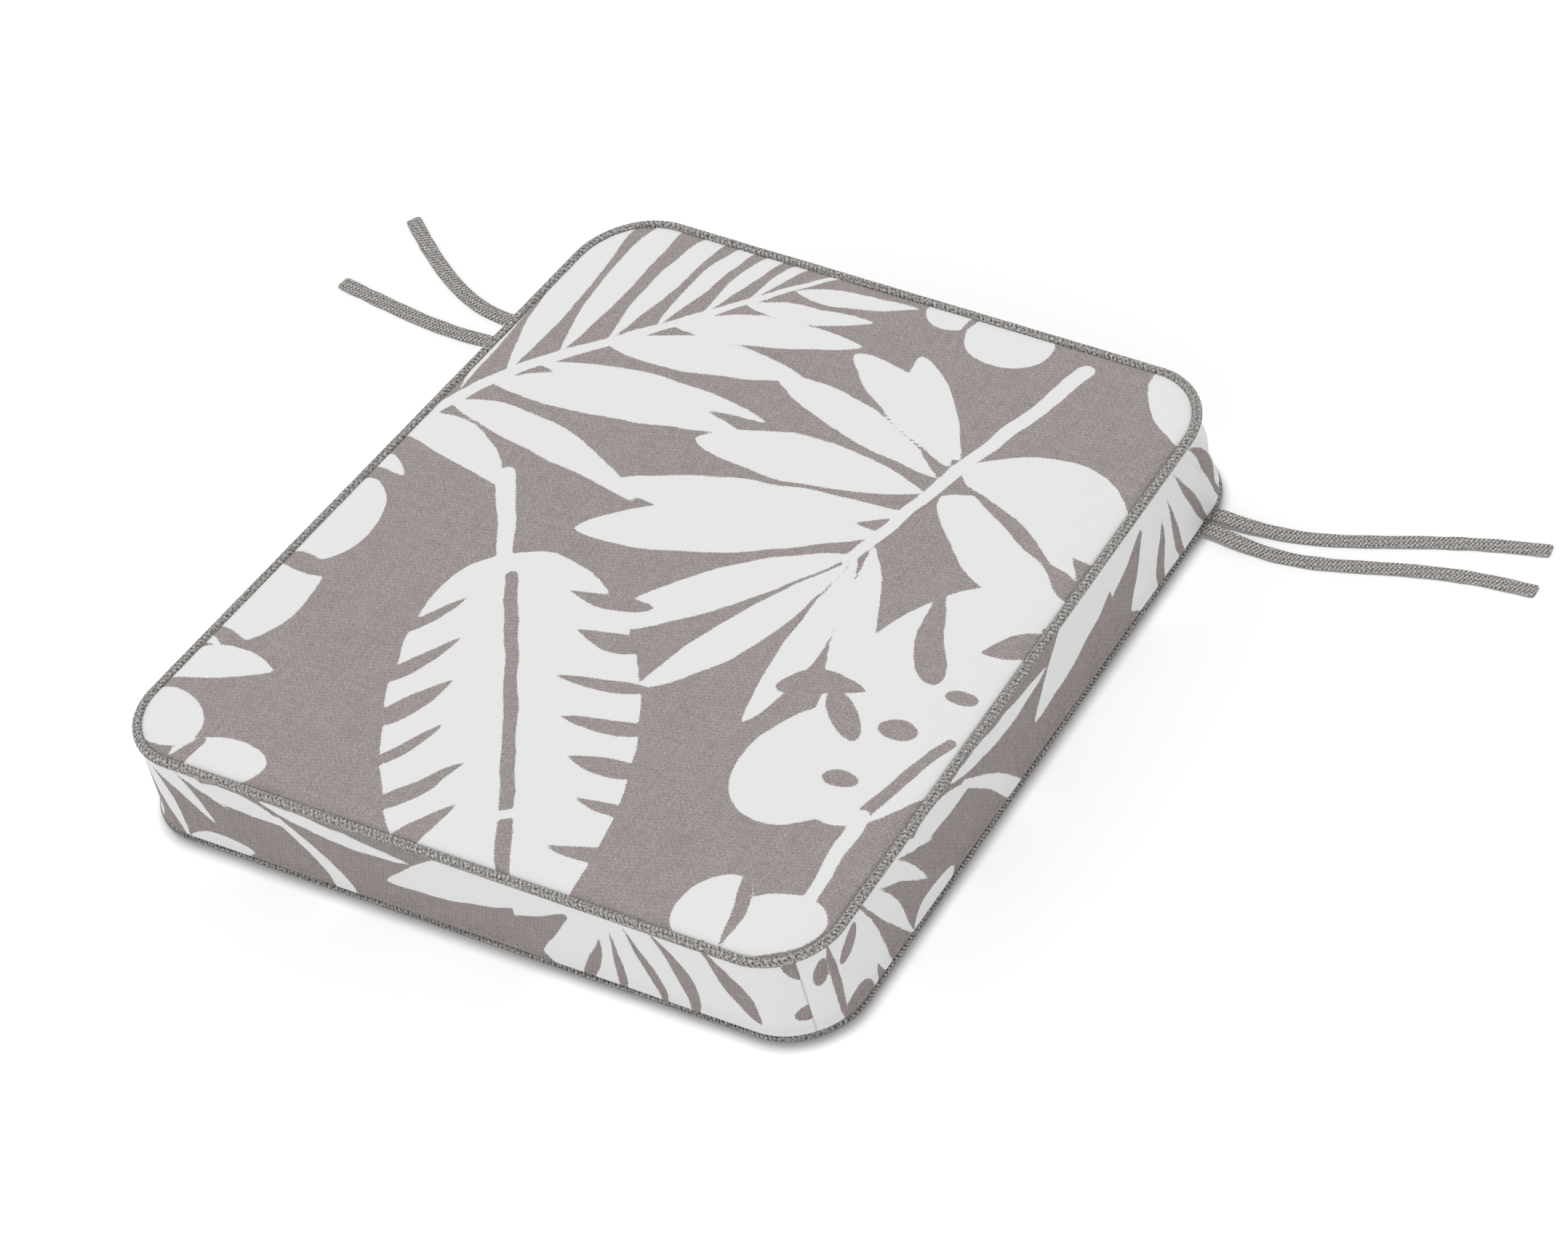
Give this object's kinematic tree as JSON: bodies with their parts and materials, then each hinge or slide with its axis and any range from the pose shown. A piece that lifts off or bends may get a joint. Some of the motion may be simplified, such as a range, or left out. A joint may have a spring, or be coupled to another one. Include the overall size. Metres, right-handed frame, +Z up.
{
  "type": "chair seat pad",
  "caption": "Boxed, tapered chair seat pad with piped edges, a printed canvas cover, rear zipper and flat ties at the back corners.",
  "frame": {"origin": "middle of the underside's bounding box, without the ties, on the surface that the pad lies on", "axes": "+X to the right when looking from the wide front edge towards the narrow rear edge, +Y towards the rear edge with the zipper, +Z up through the thickness"},
  "size_m": [0.8342, 0.5024, 0.068],
  "materials": {
    "printed_canvas": "matt plain-weave canvas, white leaf print on taupe",
    "tweed": "matt heather tweed, cream, grey and charcoal yarns",
    "zipper_tape": "matt twill tape",
    "zipper_coil": "satin nylon",
    "zipper_metal": "satin nickel plate",
    "foam": "open-cell polyurethane foam",
    "wadding": "bonded polyester fibre",
    "piping_cord": "twisted cotton cord"
  },
  "bodies": {
    "pad": {"top_panel": "printed_canvas", "bottom_panel": "printed_canvas", "front_boxing": "printed_canvas", "right_boxing": "printed_canvas", "left_boxing": "printed_canvas", "rear_band_upper": "printed_canvas", "rear_band_lower": "printed_canvas", "top_piping_cover": "tweed", "bottom_piping_cover": "tweed", "top_piping_cord": "piping_cord", "bottom_piping_cord": "piping_cord", "foam_core": "foam", "top_wadding": "wadding", "bottom_wadding": "wadding", "zipper_tape_upper": "zipper_tape", "zipper_tape_lower": "zipper_tape", "zipper_coil_upper": "zipper_coil", "zipper_coil_lower": "zipper_coil", "right_tie_anchor": "tweed", "left_tie_anchor": "tweed", "right_rear_tie": "tweed", "right_front_tie": "tweed", "left_rear_tie": "tweed", "left_front_tie": "tweed"},
    "slider": {"zipper_slider": "zipper_metal"},
    "pull": {"zipper_pull": "zipper_metal"}
  },
  "joints": [
    {"name": "slider_travel", "type": "slide", "parent": "pad", "child": "slider", "axis": [1, 0, 0], "range_m": [0, 0.316]},
    {"name": "pull_swing", "type": "hinge", "parent": "slider", "child": "pull", "pos_m": [-0.15834, 0.246, 0.03375], "axis": [0, 0, 1], "range_deg": [0, 180]}
  ]
}
